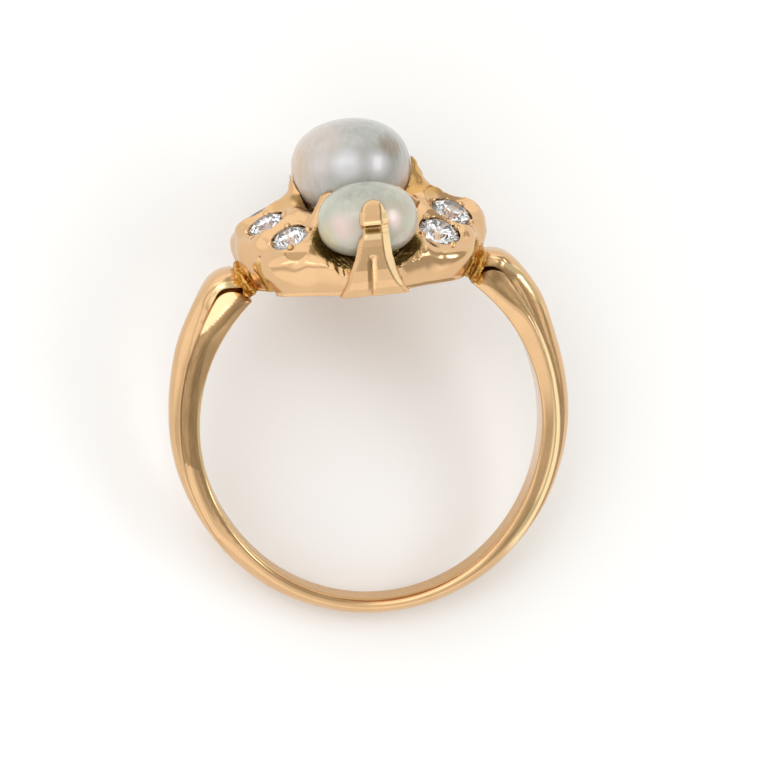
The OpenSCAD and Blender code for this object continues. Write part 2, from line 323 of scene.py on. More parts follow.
def leaf_section(a):
    """Half of the lower, wider body of the hoop: distances along the finger and heights"""
    w, t = band_width(a), crest(a)
    tip, bevel = (LEAF_TIPS[1], BEVEL_RIGHT) if a > 0 else (LEAF_TIPS[0], BEVEL_LEFT)
    a = abs(a)
    closing = math.sqrt(max(0.0004, 1 - max(0, (a - tip + LEAF_ROUND) / LEAF_ROUND) ** 2))
    top = along_hoop(a, LEDGE) * closing
    low = mix(0.32, 0.13, smooth((a - 30) / 60)) * mix(0.3, 1, closing)
    v = np.linspace(1, low / max(top, low + 0.02), 24)
    ridge, soft = along_hoop(a, RIDGE), along_hoop(a, BEVEL_SOFT)
    lean = np.radians(along_hoop(a, bevel)) * smooth((v - ridge) / soft)
    lean = lean - np.radians(along_hoop(a, UNDERCUT)) * smooth((ridge - v) / soft)
    slope = np.tan(lean) * top
    fall = np.concatenate([[0], np.cumsum((slope[1:] + slope[:-1]) / 2 * (v[:-1] - v[1:]))])
    out = w / 2 - fall.max() + fall
    out = out * mix(0.8, 1, closing)
    side = np.stack([out, v * top], 1)
    ledge = np.stack([np.linspace(0, out[0] - 0.04, 6), np.full(6, top - 0.03)], 1)
    reeded = np.vstack([ledge, side])
    b = np.concatenate([np.linspace(0, 0.5, 6), np.linspace(0.55, math.pi / 2, 24)])
    plain = np.stack([w / 2 * np.sin(b), mix(low, t, np.cos(b))], 1)
    half = mix(plain, reeded, smooth((a - 42) / 26))
    b = np.linspace(0.3, math.pi / 2, 6)[:, None]
    end, reach = half[-1], mix(0.42, 0.16, smooth((a - 30) / 60))
    foot = np.hstack([end[0] - reach * (1 - np.cos(b)), end[1] * (1 - np.sin(b))])
    return np.vstack([half, foot, [[end[0] - 1.6 * reach, 0]]])


def reed_section(a):
    """Half of the middle reed, which widens into a cap at its tip"""
    w, t = band_width(a), crest(a)
    tip = CAP_TIPS[1] if a > 0 else CAP_TIPS[0]
    lower = 0.12 * smooth((a - 131) / 4)
    a = abs(a)
    rising = smooth((a - 40) / 22)
    widens = smooth((a - 129) / 8)
    half_w = mix(REED_HALF, 1.3, widens) * mix(0.5, 1, rising)
    lip = along_hoop(a, CAP_LIP) - lower if a > 126 else along_hoop(a, LEDGE) - 0.1
    past = max(0, (a - 133) / (tip - 133))
    closing = max(0.0004, 1 - past ** 2) ** 0.8
    middle = 0.9
    high = mix(middle, t, closing) - 0.04 * (1 - rising)
    lip = min(lip, high - 0.06)
    band = min(max(along_hoop(a, LIP_BAND), lip + 0.02), mix(lip, high, 0.75))
    b = np.linspace(0, math.pi / 2, 26)
    squarer = mix(1, 0.8, widens)
    top_w = half_w - 0.1 * smooth((a - 112) / 16)
    dome = mix(band, high, np.cos(b) ** mix(1, 0.9, widens))
    edge_w = mix(top_w, half_w, np.linspace(0.2, 1, 5))
    edge = mix(band, lip, np.linspace(0.06, 1, 5))
    shank = min(half_w, REED_HALF)
    low = middle * (1 - math.sqrt(max(0, 1 - max(0, (a - 140) / (tip - 140)) ** 2)))
    under = [(half_w - 0.02, lip - 0.04), (half_w - 0.07, lip - 0.07),
             (mix(half_w, shank, 0.6), lip - 0.09), (shank, lip - 0.12), (shank, max(low, 0.1)),
             (shank - 0.25, max(low - 0.05, 0.05))]
    half = np.vstack([np.stack([top_w * np.sin(b) ** squarer, dome], 1),
                      np.stack([edge_w, edge], 1), under])
    half[:, 1] = np.maximum(half[:, 1], min(low, high))
    half[:, 0] *= closing ** 0.35
    return half


def loft(section, tips, steps):
    """Faces and points of a closed body swept round the finger hole, and where each point lies:
    its degrees, and its place in the section"""
    turns = np.sin(np.linspace(-1, 1, steps) * math.pi / 2)
    turns = turns * np.where(turns < 0, *tips)
    points, faces, degrees, places = [], [], [], []
    for a in turns:
        half = section(a)
        whole = np.vstack([half, (half * [-1, 1])[:0:-1]])
        s, c = math.sin(math.radians(a)), math.cos(math.radians(a))
        sag = HOLE_SAG * smooth((80 - abs(a)) / 50)
        points.append(np.stack([(HOLE_W / 2 + whole[:, 1]) * s + HOOP_SHIFT, whole[:, 0],
                                -(HOLE_H / 2 + sag + whole[:, 1]) * c], 1))
        degrees.append(np.full(len(whole), a))
        places.append(whole)
    n = len(points[0])
    for i in range(steps - 1):
        for j in range(n):
            k = (j + 1) % n
            faces.append((i * n + j, i * n + k, (i + 1) * n + k, (i + 1) * n + j))
    faces.append(tuple(range(n)))
    faces.append(tuple((steps - 1) * n + j for j in range(n - 1, -1, -1)))
    return faces, np.vstack(points), np.concatenate(degrees), np.vstack(places)


def turn(points, angle):
    """Points turned about the axis of the head"""
    c, s = math.cos(angle), math.sin(angle)
    return points @ np.array([[c, s, 0], [-s, c, 0], [0, 0, 1]])


def between(value, low, high, soft):
    return smooth((value - low) / soft) * smooth((high - value) / soft)


faces, points, degrees, places = loft(leaf_section, LEAF_TIPS, HOOP_STEPS)
leaf_part = len(points)
reed_faces, reed_points, reed_degrees, reed_places = loft(reed_section, CAP_TIPS, HOOP_STEPS)
faces += [tuple(leaf_part + v for v in face) for face in reed_faces]
points = turn(np.vstack([points, reed_points]), HOOP_TURN)
hoop = make_piece("hoop", points, faces, gold, ["gold"])

# The flank of each lower reed is brushed and painted dark as shade: all of it on the left, and on
# the right its lower part and a patch near its leaf, where the flank of the middle reed is brushed
# and painted dark too. The leaf, the lip of the cap and the ridges beside the brushed flanks get
# painted highlights in a lighter gold, and the inner wall is worn at the bottom.
LEFT_LOW = [(60, 0.1), (99, 0.15), (108, 0.26), (116, 0.42), (120, 0.5), (124, 0.54),
            (128, 0.37), (134, 0.28), (140, 0.2)]
LEFT_HIGH = [(50, 0.34), (82, 0.4), (85, 1.4), (120, 1.4), (124, 1.01), (127, 0.88),
             (131, 0.77), (138, 0.7)]
RIGHT_LOW = [(112, 1.3), (117, 0.92), (121, 0.86), (124, 0.72), (127.5, 0.53), (134, 0.46),
             (138, 0.3)]
RIGHT_RIDGE = [(50, 0.5), (95, 0.58), (108, 0.75), (117, 0.93), (121, 0.98), (130, 1.12),
               (136, 1.2)]
REED_HIGH = [(80, 1.0), (95, 1.2), (108, 1.39), (116, 1.67), (127, 1.73), (132, 1.67),
             (136, 1.61)]
REED_BRIGHT = [(114, 1.66), (118, 1.82), (121, 1.9), (126, 2.02), (130, 2.08), (134, 2.02),
               (137, 1.65)]
degrees = np.concatenate([degrees, reed_degrees])
aside, heights = abs(np.vstack([places, reed_places])).T
on_leaf = np.arange(len(degrees)) < leaf_part
on_right = degrees > 0
ledge = along_hoop(degrees, LEDGE)
past = (abs(degrees) - np.where(on_right, LEAF_TIPS[1], LEAF_TIPS[0])) / LEAF_ROUND + 1
closes = np.sqrt(np.clip(1 - np.maximum(0, past) ** 2, 0, 1))
ragged = 0.035 * np.sin(degrees * 9.1 + 1) * np.sin(degrees * 3.7)
left_high = along_hoop(degrees, LEFT_HIGH) + ragged
brushed_left = between(heights, along_hoop(degrees, LEFT_LOW), left_high, 0.05)
brushed_left = brushed_left * smooth((abs(degrees) - 46) / 16)
ridge_at = along_hoop(degrees, RIGHT_RIDGE)
right_high = np.maximum(ridge_at, ledge - 0.16)
brushed_right = between(heights, along_hoop(degrees, RIGHT_LOW), right_high, 0.07)
low_flank = between(heights, 0.12, ridge_at, 0.07) * between(degrees, 30, 98, 14) * 0.7
brushed_right = np.maximum(brushed_right, low_flank)
reed_high = along_hoop(degrees, REED_HIGH)
brushed_reed = smooth((reed_high - heights) / 0.06) * smooth((degrees - 62) / 20) * 0.85
brushed = np.where(on_leaf, np.where(on_right, brushed_right, brushed_left), brushed_reed)
worn_inside = (heights < 0.02) * smooth((80 - abs(degrees)) / 25) * on_leaf
brushed = np.maximum(brushed, 0.12 * worn_inside)
# painted highlights on the leaf's top, a thin line at the foot of the left flank, the ridge on the
# right, the cap's lip and the right middle reed
bright_leaf = smooth((heights - left_high) / 0.04) * smooth((-119 - degrees) / 5)
bright_foot = between(heights, 0.02, 0.16, 0.03) * between(degrees, -112, -35, 10)
bright_left = np.maximum(bright_leaf, bright_foot)
bright_right = between(heights, ridge_at, ledge - 0.02, 0.05) * between(degrees, 40, 131, 8)
bright_lip = smooth((along_hoop(degrees, LIP_BAND) + 0.03 - heights) / 0.05)
bright_lip = bright_lip * (aside > REED_HALF - 0.07) * smooth((abs(degrees) - 130) / 6)
bright_reed = between(heights, reed_high, along_hoop(degrees, REED_BRIGHT), 0.07)
bright_reed = bright_reed * between(degrees, 113, 139, 5)
bright = np.where(on_leaf, np.where(on_right, bright_right, bright_left),
                  np.where(on_right, bright_reed, bright_lip))
# painted shade along the ledge where the leaf meets the middle reed, and under the cap's lip
crease_leaf = smooth((heights - ledge * closes + 0.04) / 0.03) * (aside < 1.6)
foot = np.where(abs(degrees) > 134, along_hoop(degrees, CAP_LIP), ledge)
crease_reed = smooth((foot + 0.02 - heights) / 0.05)
crease = np.where(on_leaf, crease_leaf, crease_reed) * smooth((abs(degrees) - 50) / 12)
keep(hoop, brushed=brushed, bright=bright * (1 - crease) * 0.9, crease=crease * 0.4,
     cast=worn_inside * 0.75, sweep=degrees, lift=heights, aside=aside)


# Head
# One casting: a lobe round each diamond, a wall that runs round each end pearl, a flat middle
# under the centre pearl, and the claws. It is hollow below. The seats are cut into it, the
# recesses round the end pearls are engraved by hand, and the necks to the hoop are left rough.
RIM_Z = 7.4
LOBE_R, LOBE_SOFT = 1.62, 0.38
FILLER_X, FILLER_R = 4.85, 1.44
WALL_TIP_Y, WALL_HALF, WALL_TOP = 5.1, 1.52, 9.45
CORE_Z, CORE_R = 11.1, 3.45
# Each row is one seat: place, lean from upright, the way it faces, and the stone's diameter
SEATS = np.array([
    [-3.55, -3.35, 10.17, 28, -44, 1.90],
    [-4.42, -1.15, 10.58, 26, -24, 1.96],
    [-4.48, 1.15, 10.60, 28, 28, 1.95],
    [-3.60, 3.35, 10.10, 31, 50, 1.95],
    [3.87, -3.35, 9.74, 34, -58, 2.08],
    [4.84, -1.20, 10.30, 33, -42, 2.15],
    [4.76, 1.15, 10.58, 28, 28, 2.00],
    [3.65, 3.35, 10.05, 31, 50, 1.95],
])
CENTER_PEARL = np.array([0.14, 0, 12.9])
CENTER_HALF = np.array([2.98, 2.98, 2.36])
END_X = 0.22
FRONT_PEARL = np.array([END_X, -4.6, 10.94])
FRONT_HALF = np.array([2.46, 2.1, 1.8])
BACK_PEARL = np.array([END_X, 4.6, 10.94])
BACK_HALF = np.array([2.25, 2.1, 1.8])
PEARL_GAP = 0.03
# How full a pearl's outline is above and below its middle, where 2 is a ball
PEARL_ABOVE, PEARL_BELOW = 2.15, 2.5


def seat_axes(seat):
    """Where a diamond sits and its three axes: two across the table and one out of it"""
    lean = math.radians(seat[3])
    facing = math.radians(seat[4] if seat[0] > 0 else 180 - seat[4])
    ahead = np.array([math.cos(facing), math.sin(facing), 0])
    out = ahead * math.sin(lean) + np.array([0, 0, math.cos(lean)])
    side = np.array([-math.sin(facing), math.cos(facing), 0])
    return seat[:3], np.cross(side, out), side, out


def from_seat(x, y, z, seat):
    """How far points lie out of a diamond's girdle, and how far from its axis"""
    at, one, two, out = seat_axes(seat)
    px, py, pz = x - at[0], y - at[1], z - at[2]
    height = px * out[0] + py * out[1] + pz * out[2]
    return height, np.sqrt(np.maximum(px * px + py * py + pz * pz - height * height, 0))


def blend_min(a, b, k):
    h = np.clip(0.5 + 0.5 * (b - a) / k, 0, 1)
    return b + (a - b) * h - k * h * (1 - h)


def blend_max(a, b, k):
    return -blend_min(-a, -b, k)


def near_polygon(x, y, corners):
    """Signed distance in the plane to a polygon, whose corners may move with height"""
    best, inside = None, None
    for (ax, ay), (bx, by) in zip(corners, corners[1:] + corners[:1]):
        ex, ey = bx - ax, by - ay
        px, py = x - ax, y - ay
        f = np.clip((px * ex + py * ey) / (ex * ex + ey * ey), 0, 1)
        d = (px - f * ex) ** 2 + (py - f * ey) ** 2
        side = ex * py - ey * px
        best = d if best is None else np.minimum(best, d)
        inside = side > 0 if inside is None else inside & (side > 0)
    return np.where(inside, -1, 1) * np.sqrt(best)


def taper(z):
    """How far the walls come in towards the rim: as a share, and as a length"""
    low = np.clip((9.2 - z) / 2.2, 0, 1)
    return 1 - 0.16 * low ** 1.5, 0.44 * low ** 2


def end_wall(x, y, z):
    share, length = taper(z)
    a, d, a2, d2 = [(seat[0] * share, seat[1] * share) for seat in SEATS[[0, 3, 4, 7]]]
    tip = WALL_TIP_Y * (0.6 + 0.4 * share)
    return near_polygon(x, y, [a, (0, -tip), a2, d2, (0, tip), d]) - (WALL_HALF - length)


def head_mass(x, y, z):
    """The solid head before anything is cut into it"""
    share, length = taper(z)
    soft = 0.45 + 0.65 * smooth((z - 8.1) / 1.2)
    found = None
    for seat in SEATS:
        radius = LOBE_R - 0.06 * (seat[0] < 0)
        side = np.hypot(x - share * seat[0], y - share * seat[1]) - (radius - length)
        top, aside = from_seat(x, y, z, seat)
        # a low rim stands round each stone
        top = top - 0.05 * np.exp(-((aside - seat[5] / 2 - 0.09) / 0.08) ** 2)
        lobe = blend_max(side, top, LOBE_SOFT)
        found = lobe if found is None else blend_min(found, lobe, soft)
    # the lobes on the right run into each other, with more metal between the middle two
    side = np.hypot(x - FILLER_X * share, y) - (FILLER_R - length)
    filler = blend_max(side, z - 10.5 + 0.46 * (x - FILLER_X), LOBE_SOFT)
    found = blend_min(found, filler, soft)
    top = WALL_TOP - 0.7 * smooth((abs(x) - 2.9) / 0.9)
    wall = blend_max(end_wall(x, y, z), z - top, 0.7)
    found = blend_min(found, wall, 0.75)
    flare = CORE_R + 0.62 * smooth((CORE_Z + 0.1 - z) / 1.3)
    core = blend_max(np.hypot(x, y / 1.05) - flare, z - CORE_Z, 0.4)
    return blend_min(found, core, 0.4)


def ellipsoid(x, y, z, middle, half):
    px, py, pz = (x - middle[0]) / half[0], (y - middle[1]) / half[1], (z - middle[2]) / half[2]
    r = np.sqrt(px * px + py * py + pz * pz)
    s = np.sqrt((px / half[0]) ** 2 + (py / half[1]) ** 2 + (pz / half[2]) ** 2)
    return r * (r - 1) / np.maximum(s, 1e-6)


def bar(x, y, z, start, end, r0, r1):
    """A round bar that tapers from r0 to r1"""
    e = np.subtract(end, start)
    px, py, pz = x - start[0], y - start[1], z - start[2]
    f = np.clip((px * e[0] + py * e[1] + pz * e[2]) / (e @ e), 0, 1)
    away = np.sqrt((px - f * e[0]) ** 2 + (py - f * e[1]) ** 2 + (pz - f * e[2]) ** 2)
    return away - mix(r0, r1, f)


# Each row is one height of the big claw: height, middle, how far out its face stands, and how
# far its face reaches to the left and to the right of that middle
MIDDLE, FACE, TO_LEFT, TO_RIGHT = 1, 2, 3, 4
CLAW = np.array([
    [7.2, -0.02, 6.25, 1.50, 1.74],
    [7.5, -0.02, 6.45, 1.38, 1.56],
    [7.8, -0.02, 6.68, 1.22, 1.32],
    [8.2, -0.02, 6.90, 1.05, 1.06],
    [8.8, -0.02, 7.08, 0.90, 0.80],
    [9.4, 0.02, 7.20, 0.70, 0.60],
    [10.0, 0.06, 7.30, 0.58, 0.50],
    [10.6, 0.11, 7.32, 0.52, 0.42],
    [11.1, 0.16, 7.20, 0.49, 0.40],
    [11.5, 0.20, 6.98, 0.47, 0.40],
    [11.9, 0.24, 6.70, 0.44, 0.38],
    [12.3, 0.26, 6.36, 0.40, 0.36],
])
CLAW_TIP_Z = 12.12
WAIST_Z, NOTCH_Z, KNUCKLE_Z = 10.65, 10.83, 11.1


def claw_at(z, column):
    return np.interp(z, CLAW[:, 0], CLAW[:, column])


def swell(z, middle, half):
    return np.exp(-((z - middle) / half) ** 2)


def big_claw(x, y, z, own):
    """The claw over an end pearl. own is 1 for the front one and 0 for the guessed back one."""
    face = -claw_at(z, FACE)
    left = claw_at(z, TO_LEFT) - 0.2 * swell(z, WAIST_Z, 0.3)
    right = claw_at(z, TO_RIGHT)
    lean = np.interp(z, [10.4, 11.2, 12.0], [1.0, 0.9, 0.72])
    dx = x - claw_at(z, MIDDLE) * own
    notch = 0.15 * swell(z, NOTCH_Z, 0.15) - 0.07 * swell(z, KNUCKLE_Z, 0.1)
    groove = 0.13 * np.clip(1 - abs(dx + 0.02) / 0.22, 0, 1) * smooth((9.6 - z) / 0.3)
    depth = np.interp(z, [8.5, 10.5, 11.6], [0.75, 0.62, 0.46])
    front = (face + notch + groove - y) * lean
    back = (y - face - depth) * lean
    ahead = face + notch - y
    chamfer_left = (-dx - left) * 0.85 + ahead * 0.53
    chamfer_right = (dx - right) * 0.68 + ahead * 0.73
    wide = np.interp(z, [8.0, 9.2, 11.2, 12.0], [0.25, 0.42, 0.4, 0.2])
    sides = np.maximum(-dx - left - 0.14, dx - right - wide)
    claw = blend_max(front, np.maximum(chamfer_left, chamfer_right), 0.03)
    claw = np.maximum(claw, np.maximum(sides, back))
    in_tip = z - CLAW_TIP_Z + 0.5
    tip = np.hypot(dx - 0.05, np.maximum(in_tip, 0) * 1.1) - 0.57
    claw = np.where(in_tip > 0, blend_max(claw, tip, 0.1), claw)
    return np.maximum(claw, RIM_Z - z)


NECK_X, NECK_Z = 4.6, 8.35
NECK_HALF_H, NECK_HALF_W = 0.96, 1.5
RIB_STEP = 0.4


def neck(x, y, z):
    """The two rough necks to the hoop, and how far along them a point lies"""
    c, s = math.cos(HOOP_TURN), math.sin(HOOP_TURN)
    tx, ty = c * x + s * y, c * y - s * x
    right = smooth(tx)
    px, pz = abs(tx) - NECK_X, z - NECK_Z
    along = px * 0.84 - pz * 0.54
    over = px * 0.54 + pz * 0.84
    ty = ty + 0.5 * right
    wander = np.sin(ty * 2.3 + 0.6) * 0.9 + np.sin(ty * 5.1 + over * 4) * 0.5
    ribs = 0.07 * np.sin(along * 2 * math.pi / RIB_STEP + wander)
    lumps = np.sin(ty * 15 + along * 6) * np.sin(over * 12 + along * 9 + np.sin(ty * 7))
    oval = np.sqrt(((over + 0.1) / NECK_HALF_H) ** 2 + (ty / NECK_HALF_W) ** 2) - 1
    body = oval * NECK_HALF_H + ribs + 0.045 * lumps
    reaches = 1.45 + 0.35 * right + 0.35 * smooth((-over - 0.1) / 0.4)
    ends = np.maximum(along - reaches, -along - 0.6)
    # nothing of it stands into the finger hole
    hole = (1 - np.hypot(x / 8.66, z / 8.92)) * 8.8
    return np.maximum(np.maximum(body, ends), hole), along


SEAT_GAP, SEAT_DEEP, STONE_HOLE_R = 0.025, 0.2, 0.46
BEADS, BEAD_R = 4, 0.17


def seats_cut(x, y, z):
    """The mouth, cone and hole under every diamond, and the dish round it"""
    found = np.full_like(x, 9.0)
    for seat in SEATS:
        height, aside = from_seat(x, y, z, seat)
        beyond = aside - seat[5] / 2 - SEAT_GAP
        mouth = np.maximum(beyond, -SEAT_DEEP - height)
        cone = np.maximum((beyond - (height + SEAT_DEEP) * 1.136) * 0.66, height + 0.1)
        hole = np.maximum(aside - STONE_HOLE_R, height + SEAT_DEEP)
        # the metal round the stone is cut down to its edge
        dish = (0.07 + 0.55 * np.maximum(beyond, 0) - height) * 0.87
        dish = np.maximum(dish, beyond - 0.55)
        found = np.min([found, mouth, cone, hole, dish], axis=0)
    return found


def grains(x, y, z):
    """The small beads that hold the diamonds, raised round each one"""
    found = np.full_like(x, 9.0)
    for number, seat in enumerate(SEATS):
        at, one, two, out = seat_axes(seat)
        for bead in range(BEADS):
            way = math.radians(38 + 360 / BEADS * bead + 13 * number)
            r = seat[5] / 2 + 0.06
            spot = at + (one * math.cos(way) + two * math.sin(way)) * r + out * 0.05
            found = np.minimum(found, ellipsoid(x, y, z, spot, (BEAD_R, BEAD_R, BEAD_R)))
    return found


# Each pair is a place across the finger and the height of the recess's lip there
LIP = [(-4.4, 12), (-3.4, 10.1), (-2.9, 9.6), (-2.4, 9.2), (-1.9, 8.85), (-1.5, 8.5), (0.9, 8.35),
       (1.7, 8.75), (2.8, 9.0), (3.3, 9.3), (4.3, 12)]


def lip_height(x):
    return np.interp(x, *zip(*LIP))


def bowl(x, y, z):
    """The recess under an end pearl before it is engraved"""
    return ellipsoid(x, y, z, (END_X, -5.25, 11.2), (3.2, 2.6, 2.72))


def recess(x, y, z, depth):
    """The same with the graver's strokes round it, which fade towards the lip, where depth is 0"""
    around = np.arctan2(x - END_X, -(y + 5.0))
    strokes = 0.05 * np.sin(around * 33 + 2.0 * np.sin(z * 4) + np.sin(x * 3))
    strokes = strokes + 0.04 * np.sin(x * 11 + z * 7) * np.sin(y * 9 - z * 10 + x * 4)
    return bowl(x, y, z) + strokes * smooth((depth - 0.1) / 0.3)


# How far from the pearl's axis each side claw reaches, by height, left and right
LEFT_CLAW = [(10.4, 4.3), (11.0, 3.95), (11.3, 3.62), (11.9, 3.25), (12.4, 3.12), (12.9, 3.05)]
RIGHT_CLAW = [(10.4, 4.2), (11.0, 3.95), (11.3, 3.85), (11.9, 3.65), (12.4, 3.43), (13.1, 3.13)]


def side_claw(x, y, z, side, reaches):
    """A claw that hugs the side of the centre pearl and flares into the lobes"""
    heights, reach = zip(*reaches)
    px = (x - CENTER_PEARL[0]) * side
    py = y + 0.15
    spread = np.interp(z, [10.6, 11.3, 11.9, heights[-1]], [1.7, 1.15, 0.75, 0.26])
    lumps = np.sin(z * 7 + py * 3) * np.sin(py * 6 - z * 4) * smooth((z - CORE_Z) / 0.4)
    outer = (px - np.interp(z, heights, reach) + 0.3 * (py / spread) ** 2) * 0.85
    claw = blend_max(outer + 0.013 * (2 + side) * lumps, abs(py) - spread, 0.2)
    return np.maximum(claw, np.maximum((z - heights[-1]) * 0.9, 1.5 - px))


def left_cut(x, y, z):
    """Below 0 inside a ball and outside a plane, which leaves a flat facet"""
    plane = -0.3 * (x + 3.4) - 0.75 * (y + 4.62) + 0.59 * (z - 9.72) + 0.1
    ball = np.sqrt((x + 3.4) ** 2 + (y + 4.6) ** 2 + (z - 9.78) ** 2) - 0.6
    return np.maximum(-plane, ball)


def right_cut(x, y, z):
    """The same under the front diamond on the right"""
    plane = 0.33 * (x - 4.1) - 0.88 * (y + 5.1) + 0.34 * (z - 9.0) + 0.2
    ball = np.sqrt((x - 4.2) ** 2 + (y + 4.98) ** 2 + (z - 9.02) ** 2) - 0.6
    return np.maximum(-plane, ball)


def valley(x, y, z):
    """The soft valleys between the lobes, low on the sides of the head"""
    left = bar(x, y, z, (-5.12, -3.3, 9.1), (-4.65, -3.05, 7.3), 0.26, 0.65)
    return np.minimum(left, bar(x, y, z, (5.75, -2.75, 8.9), (5.3, -2.55, 7.3), 0.2, 0.45))


def rounded_pearl(x, y, z, middle, half):
    """Roughly the distance to a pearl that is fuller below its middle"""
    flat = np.hypot(x - middle[0], (y - middle[1]) * half[0] / half[1]) / half[0]
    rise = (z - middle[2]) / half[2]
    power = np.where(rise < 0, PEARL_BELOW, PEARL_ABOVE)
    return ((flat ** power + abs(rise) ** power) ** (1 / power) - 1) * half[2]


def whole_head(x, y, z):
    ey = -abs(y)
    own = np.where(y < 0, 1.0, 0.0)
    mass = head_mass(x, y, z)
    hollow = np.maximum(head_mass(x, y, z + 0.9) + 0.72, z - 10.2 + 2.6 * smooth((-ey - 2.2) / 1.6))
    lip = lip_height(x) + 3 * np.maximum(4.3 + ey, 0)
    ragged = 0.06 * np.sin(x * 7 + 1) + 0.05 * np.sin(x * 17)
    bevel = (z - lip - ragged + 1.25 * np.minimum(end_wall(x, ey, z), 0)) * 0.62
    mass = blend_max(mass, bevel, 0.03)
    rim = np.maximum(head_mass(x, y, np.full_like(z, 7.5)) - 0.05, z - 7.56)
    mass = blend_min(mass, rim, 0.05)
    ridge = bar(x, ey, z, (1.95, -2.7, 11.8), (3.3, -2.95, 10.75), 0.34, 0.26)
    ridge = np.minimum(ridge, bar(x, ey, z, (3.3, -2.95, 10.75), (4.5, -2.45, 9.95), 0.26, 0.2))
    mass = blend_min(mass, ridge, 0.12)
    mass = blend_max(mass, -recess(x, ey, z, -mass), 0.07)
    # a flat bright cut under the front left diamond, and another under the front right one
    mass = blend_max(mass, -np.minimum(left_cut(x, ey, z), right_cut(x, ey, z)), 0.04)
    mass = blend_max(mass, -valley(x, ey, z), 0.18)
    fillet = np.where(x > 0, 0.55, 0.1)
    mass = blend_min(mass, big_claw(x, ey, z, own), fillet)
    for side in (1, -1):
        knob = bar(x * side, ey, z, (1.95, -2.8, 10.5), (1.36, -2.66, 11.6), 0.62, 0.56)
        knob = np.maximum(knob, (z - 12.05) * 0.8 + (-ey - 2.66) * 0.6 - 0.17)
        mass = blend_min(mass, knob, 0.14)
        toe = bar(x * side, ey, z, (0.5, -6.72, 8.9), (1.6, -6.56, 7.74), 0.36, 0.31)
        mass = np.where(own > 0, mass, blend_min(mass, toe, 0.12))
    mass = blend_min(mass, side_claw(x, y, z, 1, RIGHT_CLAW), 0.3)
    mass = blend_min(mass, side_claw(x, y, z, -1, LEFT_CLAW), 0.3)
    mass = blend_max(mass, RIM_Z - z, 0.07)
    mass = blend_min(mass, neck(x, y, z)[0], 0.06)
    mass = np.maximum(mass, -seats_cut(x, y, z))
    mass = blend_min(mass, grains(x, y, z), 0.05)
    for middle, half in ((CENTER_PEARL, CENTER_HALF), (FRONT_PEARL, FRONT_HALF),
                         (BACK_PEARL, BACK_HALF)):
        mass = np.maximum(mass, PEARL_GAP - rounded_pearl(x, y, z, middle, half))
    moat = np.maximum(np.hypot(x, y) - 2.75, CORE_Z - 0.55 - z)
    mass = np.maximum(mass, -np.maximum(moat, 1.3 - np.hypot(x, y)))
    return np.maximum(mass, -hollow)


def in_parts(shape, points, part=60000):
    """shape at many points, a part of them at a time"""
    return np.concatenate([shape(*points[i:i + part].T) for i in range(0, len(points), part)])


def slopes(shape, points, step=0.004):
    """The direction in which shape grows fastest at each point"""
    found = np.empty_like(points)
    for axis in range(3):
        move = np.zeros(3)
        move[axis] = step
        found[:, axis] = in_parts(shape, points + move) - in_parts(shape, points - move)
    return found / np.maximum(np.linalg.norm(found, axis=1, keepdims=True), 1e-12)


def lattice(*counts):
    """Every whole place in a box of these counts"""
    places = np.meshgrid(*[np.arange(n) for n in counts], indexing="ij")
    return np.stack(places, -1).reshape(-1, 3)


